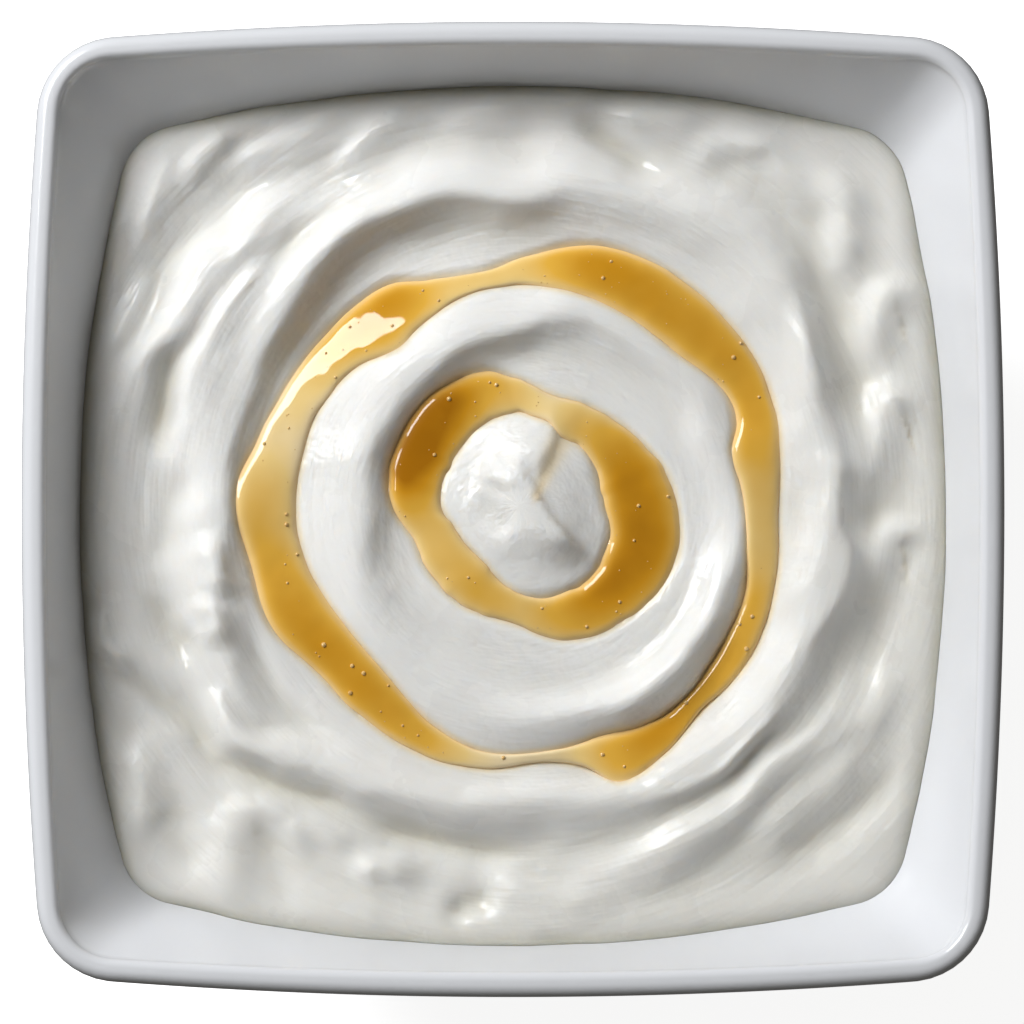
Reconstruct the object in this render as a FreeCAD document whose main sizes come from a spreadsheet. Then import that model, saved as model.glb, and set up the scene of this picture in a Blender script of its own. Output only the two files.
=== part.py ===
"""A square white porcelain bowl of swirled yogurt with two rings of honey.

The bowl has a square rim with bowed sides, walls that lean out from a rounder bottom, and a
round foot ring. Yogurt fills it to below the rim, stirred into ridges round a small peak, and
honey lies in two grooves of the swirl. +Z is up and the origin is at the centre of the foot
ring's lower face. All sizes are in millimetres.
"""
import FreeCAD, Part
import Sketcher
import math
import os

# Driving dimensions. Each becomes a cell of the spreadsheet with this alias.
SIZES = {
    # the bowl, between the outer edges of its rim before they are rounded
    "bowl_width": 130.3,
    "bowl_length": 129.3,
    "bowl_height": 50.0,
    "rim_thickness": 3.5,
    "rim_rounding": 1.25,
    "floor_thickness": 5.0,
    # its inside at six levels: how far the level is over the floor or under the rim, how far
    # it lies in from the rim's inner edge, how far its sides bow and how round its corners are
    "floor_inset": 22.5,
    "floor_bow": 20.0,
    "floor_corner": 20.0,
    "heel_rise": 2.6,
    "heel_inset": 14.6,
    "heel_bow": 20.0,
    "heel_corner": 20.0,
    "turn_rise": 8.6,
    "turn_inset": 9.3,
    "turn_bow": 19.0,
    "turn_corner": 18.0,
    "wall_rise": 18.0,
    "wall_inset": 6.2,
    "wall_bow": 14.0,
    "wall_corner": 13.0,
    "waist_drop": 12.5,
    "waist_inset": 3.1,
    "waist_bow": 8.6,
    "waist_corner": 8.6,
    "mouth_bow": 1.9,
    "mouth_corner": 8.3,
    # its outside lies further out and lower than its inside, by the wall's thickness at the rim,
    # by the floor's thickness at the bottom and by these in between
    "base_spread": 3.0,
    "heel_spread": 3.6,
    "heel_lower": 4.4,
    "turn_spread": 3.6,
    "turn_lower": 2.6,
    "wall_spread": 3.6,
    "wall_lower": 1.0,
    # the foot ring
    "foot_height": 3.0,
    "foot_radius": 33.0,
    "foot_thickness": 3.6,
    "foot_seat": 2.0,
    "foot_rounding": 0.8,
    # the yogurt, whose level is this far below the rim
    "yogurt_drop": 12.5,
    "wall_clearance": 0.1,
    "swirl_x": 1.0,
    "swirl_y": 0.95,
    "relief_step": 1.7,
    "relief_margin": 4.0,
    # the mound and the peak in the middle of the swirl
    "mound_height": 2.3,
    "mound_radius": 8.0,
    "peak_height": 2.2,
    "peak_radius": 3.4,
    # the ridge between the honey rings
    "middle_ridge_radius": 24.6,
    "middle_ridge_height": 2.3,
    "middle_ridge_width": 4.6,
    # the honey
    "inner_honey_radius": 14.9,
    "inner_honey_half_width": 3.4,
    "outer_honey_radius": 33.4,
    "outer_honey_half_width": 3.0,
    "groove_depth": 1.6,
    "groove_margin": 1.0,
    "honey_depth": 1.5,
    "honey_crown": 0.9,
    "bed_clearance": 0.1,
}

# How a ring wanders, at even steps counter-clockwise from +X: what is added to its radius and
# what multiplies its half width.
INNER_WANDER = (1.4, 0.1, -1.6, 0.3, 0.8, 0.0, -1.0, -3.0, -2.7, -1.2, 1.5, 2.5)
INNER_WIDTH = (1.45, 1.05, 0.75, 0.80, 1.10, 1.15, 1.00, 0.93, 0.95, 0.70, 1.05, 1.30)
OUTER_WANDER = (-1.0, 1.1, 0.1, -1.4, -1.9, -0.7, 1.0, -0.6, -0.9, 0.4, 2.7, 1.4)
OUTER_WIDTH = (0.80, 0.97, 1.35, 0.75, 1.25, 0.90, 1.40, 1.40, 1.00, 0.45, 0.80, 0.80)
MIDDLE_WANDER = (3.4, 2.6, 1.4, -0.4, -1.8, -2.4, -2.2, -1.0, 0.6, 2.6, 4.0, 4.2)

# The folds outside the outer ring: start and end angle, start and end radius of the crest,
# height, width on the inner side and on the outer side.
FOLDS = (
    (-78, 52, 42.6, 43.4, 3.0, 4.6, 2.8),
    (96, 172, 43.4, 43.4, 2.6, 3.6, 4.6),
    (188, 276, 55.0, 44.6, 2.6, 5.0, 2.4),
    (276, 348, 47.6, 50.8, 1.4, 2.6, 3.4),
    (60, 118, 52.6, 47.8, 1.5, 3.4, 3.4),
    (118, 196, 52.4, 55.0, 1.6, 3.4, 3.2),
    (-20, 44, 52.4, 56.0, 1.8, 3.0, 3.4),
    (206, 262, 59.0, 54.6, 1.3, 2.6, 3.0),
)
FOLD_FADE = 0.25  # the part of a fold's length over which it rises, and over which it dies away

RING_STATIONS = 36
SECTION_POLES = 10
RELIEF_HEADROOM = 30.0  # how far the tool that shapes the yogurt's top reaches above the rim


# ------------------------------------------------------------------ the spreadsheet


def make_sheet(doc):
    """Writes the driving dimensions into the spreadsheet, one aliased cell each."""
    sheet = doc.addObject("Spreadsheet::Sheet", "Sizes")
    for row, (name, value) in enumerate(SIZES.items(), start=1):
        sheet.set(f"A{row}", name)
        sheet.set(f"B{row}", str(value))
        sheet.setAlias(f"B{row}", name)
    doc.recompute()
    return sheet


def evaluate(doc, expression):
    """The value that an expression on the spreadsheet has now."""
    value = doc.getObject("Sizes").evalExpression(expression)
    return float(getattr(value, "Value", value))


# ------------------------------------------------------------------ the bowl's outlines


def corner_arc(half_x, half_y, side_x, side_y, corner):
    """Where the corner arc lies: its centre, and the directions in which it meets its sides.

    The side arcs have their centres on the axes. The corner arc touches both from within, so
    its centre is the side's radius less its own away from each of them.
    """
    right = FreeCAD.Vector(half_x - side_x, 0, 0)
    back = FreeCAD.Vector(0, half_y - side_y, 0)
    between = back - right
    to_right = side_x - corner
    to_back = side_y - corner
    along = (to_right**2 - to_back**2 + between.Length**2) / (2 * between.Length)
    off = math.sqrt(to_right**2 - along**2)
    ahead = FreeCAD.Vector(between).normalize()
    across = FreeCAD.Vector(ahead.y, -ahead.x, 0)
    centre = right + ahead * along + across * (off if across.x > 0 else -off)
    meets_right = math.atan2(centre.y, centre.x - right.x)
    meets_back = math.atan2(centre.y - back.y, centre.x)
    return centre, meets_right, meets_back


def side_radius(half_across, bow):
    """The expression for the radius of a side that bows out over half the other width."""
    return f"(({half_across})^2 + ({bow})^2) / (2 * ({bow}))"


def add_outline(body, name, height, half_x, half_y, bow, corner, grow="0"):
    """A constrained sketch of a square with bowed sides, at a height over the XY plane.

    All but the body and the name are expressions on the spreadsheet. The outline with those
    half widths, bow and corner is grown outwards all round by the last of them.
    """
    doc = body.Document
    sketch = body.newObject("Sketcher::SketchObject", name)
    plane = next(f for f in body.Origin.OriginFeatures if f.Role == "XY_Plane")
    sketch.AttachmentSupport = [(plane, "")]
    sketch.MapMode = "FlatFace"
    sketch.setExpression("AttachmentOffset.Base.z", height)

    side_x = f"{side_radius(half_y, bow)} + {grow}"
    side_y = f"{side_radius(half_x, bow)} + {grow}"
    half_x = f"{half_x} + {grow}"
    half_y = f"{half_y} + {grow}"
    corner = f"{corner} + {grow}"
    wide, long, round_x, round_y, small = (
        evaluate(doc, text) for text in (half_x, half_y, side_x, side_y, corner))
    centre, meets_right, meets_back = corner_arc(wide, long, round_x, round_y, small)
    shift_x = round_x - wide
    shift_y = round_y - long
    up = FreeCAD.Vector(0, 0, 1)
    turn = math.pi
    arcs = (
        (-shift_x, 0, round_x, -meets_right, meets_right),
        (centre.x, centre.y, small, meets_right, meets_back),
        (0, -shift_y, round_y, meets_back, turn - meets_back),
        (-centre.x, centre.y, small, turn - meets_back, turn - meets_right),
        (shift_x, 0, round_x, turn - meets_right, turn + meets_right),
        (-centre.x, -centre.y, small, turn + meets_right, turn + meets_back),
        (0, shift_y, round_y, turn + meets_back, 2 * turn - meets_back),
        (centre.x, -centre.y, small, -meets_back, -meets_right),
    )
    for x, y, radius, start, end in arcs:
        circle = Part.Circle(FreeCAD.Vector(x, y, 0), up, radius)
        sketch.addGeometry(Part.ArcOfCircle(circle, start, end), False)
    for arc in range(len(arcs)):
        after = (arc + 1) % len(arcs)
        sketch.addConstraint(Sketcher.Constraint("Tangent", arc, 2, after, 1))
    for arc, twin in ((0, 4), (2, 6), (1, 3), (1, 5), (1, 7)):
        sketch.addConstraint(Sketcher.Constraint("Equal", arc, twin))

    def dimension(label, expression, *constraint):
        index = sketch.addConstraint(Sketcher.Constraint(*constraint))
        sketch.renameConstraint(index, label)
        sketch.setExpression(f"Constraints.{label}", expression)

    dimension("side_x", side_x, "Radius", 0, round_x)
    dimension("side_y", side_y, "Radius", 2, round_y)
    dimension("corner", corner, "Radius", 1, small)
    x_axis, y_axis = -1, -2
    to_left = f"({half_x}) - ({side_x})"
    to_front = f"({half_y}) - ({side_y})"
    for arc, axis, label, along, where, place in (
            (0, x_axis, "right", "DistanceX", to_left, -shift_x),
            (2, y_axis, "back", "DistanceY", to_front, -shift_y),
            (4, x_axis, "left", "DistanceX", f"-({to_left})", shift_x),
            (6, y_axis, "front", "DistanceY", f"-({to_front})", shift_y)):
        sketch.addConstraint(Sketcher.Constraint("PointOnObject", arc, 3, axis))
        dimension(label, where, along, -1, 1, arc, 3, place)
    return sketch


def add_loft(body, name, kind, outlines):
    """A smooth loft through outlines of the body, from the lowest up."""
    loft = body.newObject(f"PartDesign::{kind}Loft", name)
    loft.Profile = outlines[0]
    loft.Sections = outlines[1:]
    loft.Ruled = False
    body.Document.recompute()
    return loft


def add_fillet(body, name, radius, picks):
    """Rounds the edges of the body's present shape that picks accepts."""
    base = body.Tip
    edges = [f"Edge{n}" for n, edge in enumerate(base.Shape.Edges, start=1) if picks(edge)]
    fillet = body.newObject("PartDesign::Fillet", name)
    fillet.Base = (base, edges)
    fillet.setExpression("Radius", radius)
    body.Document.recompute()
    return fillet


def lies_at(edge, height):
    """Whether an edge is level and at a height."""
    box = edge.BoundBox
    return abs(box.ZMin - height) < 0.01 and abs(box.ZMax - height) < 0.01


# ------------------------------------------------------------------ the bowl

FLOOR = "Sizes.foot_height + Sizes.floor_thickness"

# Each level's height, what it lies in from the rim's inner edge, its bow and its corner.
INSIDE = {
    "floor": (FLOOR, "Sizes.floor_inset", "Sizes.floor_bow", "Sizes.floor_corner"),
    "heel": (f"{FLOOR} + Sizes.heel_rise",
             "Sizes.heel_inset", "Sizes.heel_bow", "Sizes.heel_corner"),
    "turn": (f"{FLOOR} + Sizes.turn_rise",
             "Sizes.turn_inset", "Sizes.turn_bow", "Sizes.turn_corner"),
    "wall": (f"{FLOOR} + Sizes.wall_rise",
             "Sizes.wall_inset", "Sizes.wall_bow", "Sizes.wall_corner"),
    "waist": ("Sizes.bowl_height - Sizes.waist_drop",
              "Sizes.waist_inset", "Sizes.waist_bow", "Sizes.waist_corner"),
    "mouth": ("Sizes.bowl_height", "0", "Sizes.mouth_bow", "Sizes.mouth_corner"),
}

# How much further out and how much lower the outside is at each level.
OUTSIDE = {
    "floor": ("Sizes.base_spread", "Sizes.floor_thickness"),
    "heel": ("Sizes.heel_spread", "Sizes.heel_lower"),
    "turn": ("Sizes.turn_spread", "Sizes.turn_lower"),
    "wall": ("Sizes.wall_spread", "Sizes.wall_lower"),
    "waist": ("Sizes.rim_thickness", "0"),
    "mouth": ("Sizes.rim_thickness", "0"),
}


def inside_outline(body, level, grow="0", lower="0"):
    """The outline of the bowl's inside at a level, grown and lowered."""
    height, inset, bow, corner = INSIDE[level]
    in_from_rim = f"(Sizes.rim_thickness + {inset})"
    return add_outline(
        body, f"{body.Label}_{level}", f"{height} - ({lower})",
        f"Sizes.bowl_width / 2 - {in_from_rim}", f"Sizes.bowl_length / 2 - {in_from_rim}",
        bow, corner, grow)


def make_bowl(doc, sheet):
    """The porcelain bowl: a lofted block, hollowed, with a foot ring and a rounded rim."""
    body = doc.addObject("PartDesign::Body", "bowl")
    body.Label = "bowl"
    outside = [inside_outline(body, level, *OUTSIDE[level]) for level in INSIDE]
    add_loft(body, "bowl_outside", "Additive", outside)
    full = body.Shape.Volume
    inside = [inside_outline(body, level) for level in INSIDE]
    add_loft(body, "bowl_inside", "Subtractive", inside)
    if not 0 < body.Shape.Volume < full:
        raise RuntimeError("the bowl was not hollowed")

    ring = body.newObject("Sketcher::SketchObject", "foot_circles")
    plane = next(f for f in body.Origin.OriginFeatures if f.Role == "XY_Plane")
    ring.AttachmentSupport = [(plane, "")]
    ring.MapMode = "FlatFace"
    up = FreeCAD.Vector(0, 0, 1)
    inner = sheet.foot_radius - sheet.foot_thickness
    for index, (label, radius, expression) in enumerate((
            ("outside", sheet.foot_radius, "Sizes.foot_radius"),
            ("inside", inner, "Sizes.foot_radius - Sizes.foot_thickness"))):
        ring.addGeometry(Part.Circle(FreeCAD.Vector(), up, radius), False)
        ring.addConstraint(Sketcher.Constraint("Coincident", index, 3, -1, 1))
        size = ring.addConstraint(Sketcher.Constraint("Radius", index, radius))
        ring.renameConstraint(size, label)
        ring.setExpression(f"Constraints.{label}", expression)
    pad = body.newObject("PartDesign::Pad", "foot")
    pad.Profile = ring
    pad.setExpression("Length", "Sizes.foot_height + Sizes.foot_seat")
    doc.recompute()
    add_fillet(body, "foot_round", "Sizes.foot_rounding", lambda e: lies_at(e, 0))

    add_fillet(body, "rim_round", "Sizes.rim_rounding", lambda e: lies_at(e, sheet.bowl_height))
    return body


# ------------------------------------------------------------------ the swirl


def around(values, angle):
    """A smooth closed curve through evenly spaced values, at an angle in degrees."""
    place = (angle % 360) / 360 * len(values)
    step = int(place)
    t = place - step
    before, here, after, beyond = (values[(step + k) % len(values)] for k in (-1, 0, 1, 2))
    bend = 2 * before - 5 * here + 4 * after - beyond
    twist = -before + 3 * here - 3 * after + beyond
    return here + 0.5 * t * (after - before + t * (bend + t * twist))


def hump(distance, width):
    """A smooth rise of height 1 that dies away over a width."""
    return math.exp(-((distance / width) ** 2))


def inner_honey(sheet, angle):
    """The radius and half width of the inner honey ring."""
    return (sheet.inner_honey_radius + around(INNER_WANDER, angle),
            sheet.inner_honey_half_width * around(INNER_WIDTH, angle))


def outer_honey(sheet, angle):
    """The radius and half width of the outer honey ring."""
    return (sheet.outer_honey_radius + around(OUTER_WANDER, angle),
            sheet.outer_honey_half_width * around(OUTER_WIDTH, angle))


def fold_height(fold, radius, angle):
    """How much one fold outside the rings adds at a place of the swirl."""
    start, end, start_radius, end_radius, height, inside, outside = fold
    along = ((angle - start) % 360) / (end - start)
    if along > 1:
        return 0.0
    fade = min(along, 1 - along) / FOLD_FADE
    swell = math.sin(min(fade, 1.0) * math.pi / 2) ** 2
    off = radius - (start_radius + (end_radius - start_radius) * along)
    return height * swell * hump(off, inside if off < 0 else outside)


def relief(sheet, x, y):
    """The height of the yogurt's top above its level at the wall."""
    x -= sheet.swirl_x
    y -= sheet.swirl_y
    radius = math.hypot(x, y)
    angle = math.degrees(math.atan2(y, x))
    height = sheet.mound_height * hump(radius, sheet.mound_radius)
    height += sheet.peak_height * hump(radius, sheet.peak_radius)
    crest = sheet.middle_ridge_radius + around(MIDDLE_WANDER, angle)
    height += sheet.middle_ridge_height * hump(radius - crest, sheet.middle_ridge_width)
    for groove in (inner_honey, outer_honey):
        middle, half_width = groove(sheet, angle)
        height -= sheet.groove_depth * hump(radius - middle, half_width + sheet.groove_margin)
    for fold in FOLDS:
        height += fold_height(fold, radius, angle)
    return height


def make_relief_tool(doc, sheet):
    """What is cut off the yogurt: everything above its ridged top."""
    step = sheet.relief_step
    half_x = sheet.bowl_width / 2 + sheet.relief_margin
    half_y = sheet.bowl_length / 2 + sheet.relief_margin
    columns = math.ceil(2 * half_x / step) + 1
    rows = math.ceil(2 * half_y / step) + 1
    level = sheet.bowl_height - sheet.yogurt_drop
    heights = [[level + relief(sheet, -half_x + column * step, -half_y + row * step)
                for row in range(rows)] for column in range(columns)]
    surface = Part.BSplineSurface()
    surface.interpolate(heights, -half_x, step, -half_y, step)
    tool = doc.addObject("Part::Feature", "relief_tool")
    rise = sheet.yogurt_drop + RELIEF_HEADROOM
    tool.Shape = surface.toShape().extrude(FreeCAD.Vector(0, 0, rise))
    tool.Placement = FreeCAD.Placement()
    return tool


def make_ring(doc, sheet, name, ring, grow):
    """A closed ring of honey lying in its groove, or with grow the bed that it lies in.

    Each section is a lens whose two edges meet the yogurt and whose middle stands up by the
    crown and reaches down by the depth. Sections and ring are closed cubic splines.
    """
    # an even closed cubic spline runs inside its poles by this ratio
    pull = (2 + math.cos(2 * math.pi / SECTION_POLES)) / 3
    level = sheet.bowl_height - sheet.yogurt_drop
    poles = []
    for station in range(RING_STATIONS):
        angle = 360 * station / RING_STATIONS
        middle, half_width = ring(sheet, angle)
        turn = math.radians(angle)
        out = FreeCAD.Vector(math.cos(turn), math.sin(turn), 0)
        swirl = FreeCAD.Vector(sheet.swirl_x, sheet.swirl_y, level)
        ends = [swirl + out * (middle + side * half_width) for side in (-1, 1)]
        low, high = (relief(sheet, end.x, end.y) for end in ends)
        row = []
        for pole in range(SECTION_POLES):
            around_section = 2 * math.pi * pole / SECTION_POLES
            across = math.cos(around_section)
            lift = math.sin(around_section)
            thick = sheet.honey_crown if lift > 0 else sheet.honey_depth
            base = (low + high) / 2 + (high - low) / 2 * across
            at_radius = middle + (half_width + grow) / pull * across
            at_height = base + (thick + grow) / pull * lift
            row.append(swirl + out * at_radius + FreeCAD.Vector(0, 0, at_height))
        poles.append(row)
    surface = Part.BSplineSurface()
    surface.buildFromPolesMultsKnots(
        poles, [1] * (RING_STATIONS + 1), [1] * (SECTION_POLES + 1),
        list(range(RING_STATIONS + 1)), list(range(SECTION_POLES + 1)), True, True, 3, 3)
    solid = Part.Solid(Part.Shell([surface.toShape()]))
    if solid.Volume < 0:
        solid.reverse()
    feature = doc.addObject("Part::Feature", name)
    feature.Label = name
    feature.Shape = solid
    feature.Placement = FreeCAD.Placement()
    return feature


def make_yogurt(doc, sheet):
    """The yogurt: the bowl's inside, cut to its ridged top and round the honey."""
    filling = doc.addObject("PartDesign::Body", "filling")
    filling.Label = "filling"
    outlines = [inside_outline(filling, level, "-Sizes.wall_clearance", "-Sizes.wall_clearance")
                for level in INSIDE]
    add_loft(filling, "filling_block", "Additive", outlines)
    topped = doc.addObject("Part::Cut", "topped")
    topped.Base = filling
    topped.Tool = make_relief_tool(doc, sheet)
    beds = doc.addObject("Part::Fuse", "beds")
    beds.Base = make_ring(doc, sheet, "outer_bed", outer_honey, sheet.bed_clearance)
    beds.Tool = make_ring(doc, sheet, "inner_bed", inner_honey, sheet.bed_clearance)
    yogurt = doc.addObject("Part::Cut", "yogurt")
    yogurt.Label = "yogurt"
    yogurt.Base = topped
    yogurt.Tool = beds
    doc.recompute()
    return yogurt


# ------------------------------------------------------------------ the whole


def main():
    doc = FreeCAD.newDocument("bowl_of_yogurt")
    sheet = make_sheet(doc)
    nodes = [
        make_bowl(doc, sheet),
        make_yogurt(doc, sheet),
        make_ring(doc, sheet, "honey_outer_ring", outer_honey, 0.0),
        make_ring(doc, sheet, "honey_inner_ring", inner_honey, 0.0),
    ]
    doc.recompute()
    for item in doc.Objects:
        if {"Invalid", "Error"} & set(item.State):
            raise RuntimeError(f"{item.Label} failed: {item.State}")
    os.makedirs("parts", exist_ok=True)
    for node in nodes:
        shape = node.Shape
        if shape.isNull() or not shape.isValid() or len(shape.Solids) != 1:
            raise RuntimeError(f"{node.Label} is not one valid solid")
        shape.exportStep(f"parts/{node.Label}.step")
        print(node.Label, round(shape.Volume), "mm3", shape.BoundBox)


main()
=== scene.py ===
import bpy
import math
import numpy as np
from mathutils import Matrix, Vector


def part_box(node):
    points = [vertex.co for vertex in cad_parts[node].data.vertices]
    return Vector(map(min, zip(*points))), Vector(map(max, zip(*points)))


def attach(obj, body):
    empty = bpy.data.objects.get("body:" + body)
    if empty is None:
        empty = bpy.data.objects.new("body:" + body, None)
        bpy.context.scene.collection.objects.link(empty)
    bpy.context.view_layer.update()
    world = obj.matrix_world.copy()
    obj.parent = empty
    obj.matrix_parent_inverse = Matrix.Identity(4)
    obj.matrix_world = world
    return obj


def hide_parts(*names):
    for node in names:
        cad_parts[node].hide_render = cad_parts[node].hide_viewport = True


# A square white bowl of stirred yogurt with two rings of honey in its grooves.
# Shapes are worked out in millimetres from the bowl's middle and put into the scene in metres.

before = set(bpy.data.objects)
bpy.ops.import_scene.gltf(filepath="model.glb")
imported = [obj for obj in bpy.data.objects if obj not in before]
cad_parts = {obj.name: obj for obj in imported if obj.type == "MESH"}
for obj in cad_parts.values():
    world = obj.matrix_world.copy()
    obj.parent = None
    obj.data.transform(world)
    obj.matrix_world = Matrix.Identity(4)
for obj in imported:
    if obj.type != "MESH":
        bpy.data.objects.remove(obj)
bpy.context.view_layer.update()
scene = bpy.context.scene
mm = 0.001


# smooth noise between -1 and 1, which repeats after a number of cells
def smoothNoise(x, y, seed, period=64):
    grid = np.random.default_rng(seed).uniform(-1, 1, (period, period))
    column = np.floor(x).astype(int)
    row = np.floor(y).astype(int)
    s = x - column
    t = y - row
    s = s * s * s * (s * (s * 6 - 15) + 10)
    t = t * t * t * (t * (t * 6 - 15) + 10)

    def corner(i, j):
        return grid[(column + i) % period, (row + j) % period]

    near = corner(0, 0) * (1 - s) + corner(1, 0) * s
    far = corner(0, 1) * (1 - s) + corner(1, 1) * s
    return near * (1 - t) + far * t


# goes from one value to the next as t goes from 0 to 1, with a given slope at each
def blend(t, first, second, leaving, arriving):
    return ((2 * t**3 - 3 * t**2 + 1) * first + (t**3 - 2 * t**2 + t) * leaving
            + (-2 * t**3 + 3 * t**2) * second + (t**3 - t**2) * arriving)


# a smooth closed curve through one column of rows that start with an angle
def closedCurve(rows, column, angle):
    angles = np.array([row[0] for row in rows], float)
    values = np.array([row[column] for row in rows], float)
    angles = np.concatenate([angles[-2:] - 360, angles, angles[:2] + 360])
    values = np.concatenate([values[-2:], values, values[:2]])
    slopes = (values[2:] - values[:-2]) / (angles[2:] - angles[:-2])
    angle = np.mod(angle, 360)
    place = np.clip(np.searchsorted(angles, angle, side="right") - 1, 1, len(angles) - 3)
    gap = angles[place + 1] - angles[place]
    t = (angle - angles[place]) / gap
    return blend(t, values[place], values[place + 1], slopes[place - 1] * gap, slopes[place] * gap)


def hump(distance, width):
    return np.exp(-((distance / width) ** 2))


# a running mean over a closed ring or a grid
def evenOut(values, span, axis=0):
    return sum(np.roll(values, step, axis) for step in range(-(span // 2), span // 2 + 1)) / span


def newPiece(name, points, faces, replaced, material):
    mesh = bpy.data.meshes.new(name)
    mesh.from_pydata([tuple(point) for point in points * mm], [], faces)
    mesh.validate()
    mesh.shade_smooth()
    piece = bpy.data.objects.new(name, mesh)
    scene.collection.objects.link(piece)
    mesh.materials.append(material)
    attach(piece, "root")
    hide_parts(replaced)
    return piece


def paintPoints(piece, name, values):
    attribute = piece.data.attributes.new(name, "FLOAT", "POINT")
    attribute.data.foreach_set("value", np.clip(values, 0, 1).astype(np.float32))


# quads between rings of count points each
def ringFaces(rings, count, first=0):
    faces = []
    for ring in range(rings - 1):
        low = first + ring * count
        for k in range(count):
            after = (k + 1) % count
            faces.append((low + k, low + after, low + count + after, low + count + k))
    return faces


def newMaterial(name):
    material = bpy.data.materials.new(name)
    material.use_nodes = True
    nodes = material.node_tree.nodes
    return material, nodes, material.node_tree.links, nodes["Principled BSDF"]


def addNode(nodes, kind, **values):
    node = nodes.new(kind)
    for key, value in values.items():
        if key in node.inputs:
            node.inputs[key].default_value = value
        else:
            setattr(node, key, value)
    return node


# noise in the piece's own coordinates
def addNoise(nodes, links, scale, detail):
    place = nodes.new("ShaderNodeTexCoord")
    noise = addNode(nodes, "ShaderNodeTexNoise", Scale=scale, Detail=detail)
    links.new(place.outputs["Object"], noise.inputs["Vector"])
    return noise


# turns a range of noise into a range of roughness
def roughen(nodes, links, noise, shader, found, wanted):
    gloss = nodes.new("ShaderNodeMapRange")
    gloss.inputs["From Min"].default_value, gloss.inputs["From Max"].default_value = found
    gloss.inputs["To Min"].default_value, gloss.inputs["To Max"].default_value = wanted
    links.new(noise.outputs["Fac"], gloss.inputs["Value"])
    links.new(gloss.outputs["Result"], shader.inputs["Roughness"])


# mixes in another colour as far as a point attribute says
def mixBy(nodes, links, attribute, colour, other):
    share = addNode(nodes, "ShaderNodeAttribute", attribute_name=attribute)
    mix = nodes.new("ShaderNodeMix")
    mix.data_type = "RGBA"
    links.new(share.outputs["Fac"], mix.inputs[0])
    links.new(colour, mix.inputs[6])
    mix.inputs[7].default_value = (*other, 1)
    return mix.outputs[2]


bowl = {
    "rimThickness": 3.5,        # of the wall at the rim
    "rimRounding": 1.8,         # radius of the rim's outer edge
    "rimInnerRounding": 1.2,    # and of its inner edge
    "rimLean": 0.42,            # how far the wall leans out over that radius
    "taper": 0.15,              # share of its thickness that the wall loses on its way down
    "pointsAround": 480,
    # the inside: height, half width less half width of the rim's inner edge, bow of the sides
    # and radius of the corners
    "levels": (
        (8.0, -22.5, 20.0, 20.0),
        (10.6, -14.6, 20.0, 20.0),
        (16.6, -9.3, 19.0, 18.0),
        (26.0, -6.2, 14.0, 13.0),
        (37.5, -3.1, 8.6, 8.6),
        (50.0, 0.0, 1.9, 7.2),
    ),
    "coveHeight": 6.0,          # how far up from the floor the wall curves most
    "sinkFrom": 0.45,           # how far down the outside starts to drop below the inside
    "footRadius": 33.0,
    "footThickness": 3.6,
    "footHeight": 3.0,
    "footRounding": 0.8,        # radius of its lower edges
    "footSpread": (1.2, 0.6),   # width and height of the slope between it and the underside
    "glaze": (0.82, 0.83, 0.86),
    "roughness": (0.16, 0.28),
}


# how far from the middle a square with bowed sides and round corners reaches
def outlineRadius(angle, halfX, halfY, bow, corner):
    sideX = (halfY**2 + bow**2) / (2 * bow)
    sideY = (halfX**2 + bow**2) / (2 * bow)
    right = np.array((halfX - sideX, 0.0))
    back = np.array((0.0, halfY - sideY))
    # the corner's middle, from the two sides' middles
    between = back - right
    span = np.linalg.norm(between)
    along = ((sideX - corner) ** 2 - (sideY - corner) ** 2 + span**2) / (2 * span)
    off = math.sqrt((sideX - corner) ** 2 - along**2)
    ahead = between / span
    across = np.array((ahead[1], -ahead[0]))
    if across[0] < 0:
        across = -across
    middle = right + ahead * along + across * off
    # where the corner meets each side
    meetsRight = math.atan2(middle[1], middle[0] - right[0])
    meetsBack = math.atan2(middle[1] - back[1], middle[0])
    firstEnd = right + sideX * np.array((math.cos(meetsRight), math.sin(meetsRight)))
    secondEnd = back + sideY * np.array((math.cos(meetsBack), math.sin(meetsBack)))
    toFirst = math.atan2(firstEnd[1], firstEnd[0])
    toSecond = math.atan2(secondEnd[1], secondEnd[0])
    dx = np.abs(np.cos(angle))
    dy = np.abs(np.sin(angle))
    folded = np.arctan2(dy, dx)

    def hit(centre, radius):
        nearest = dx * centre[0] + dy * centre[1]
        return nearest + np.sqrt(nearest**2 - centre @ centre + radius**2)

    return np.where(folded < toFirst, hit(right, sideX),
                    np.where(folded < toSecond, hit(middle, corner), hit(back, sideY)))


cadLow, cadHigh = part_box("bowl")
halfWidth = (cadHigh[0] - cadLow[0]) / 2 / mm - bowl["rimThickness"] + bowl["rimLean"]
halfLength = (cadHigh[1] - cadLow[1]) / 2 / mm - bowl["rimThickness"] + bowl["rimLean"]
rimHeight = cadHigh[2] / mm
floorHeight = bowl["levels"][0][0]


# the inside wall's distance from the middle at each height, smooth between its levels
def wallRadius(angle, height):
    heights = np.array([row[0] for row in bowl["levels"]])
    radii = np.array([outlineRadius(angle, halfWidth + inset, halfLength + inset, bow, corner)
                      for _, inset, bow, corner in bowl["levels"]])
    slopes = np.gradient(radii, heights, axis=0)
    place = np.clip(np.searchsorted(heights, height, side="right") - 1, 0, len(heights) - 2)
    index = np.arange(len(angle))
    place = np.broadcast_to(place, index.shape)
    gap = heights[place + 1] - heights[place]
    return blend((height - heights[place]) / gap, radii[place, index], radii[place + 1, index],
                 slopes[place, index] * gap, slopes[place + 1, index] * gap)


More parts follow.
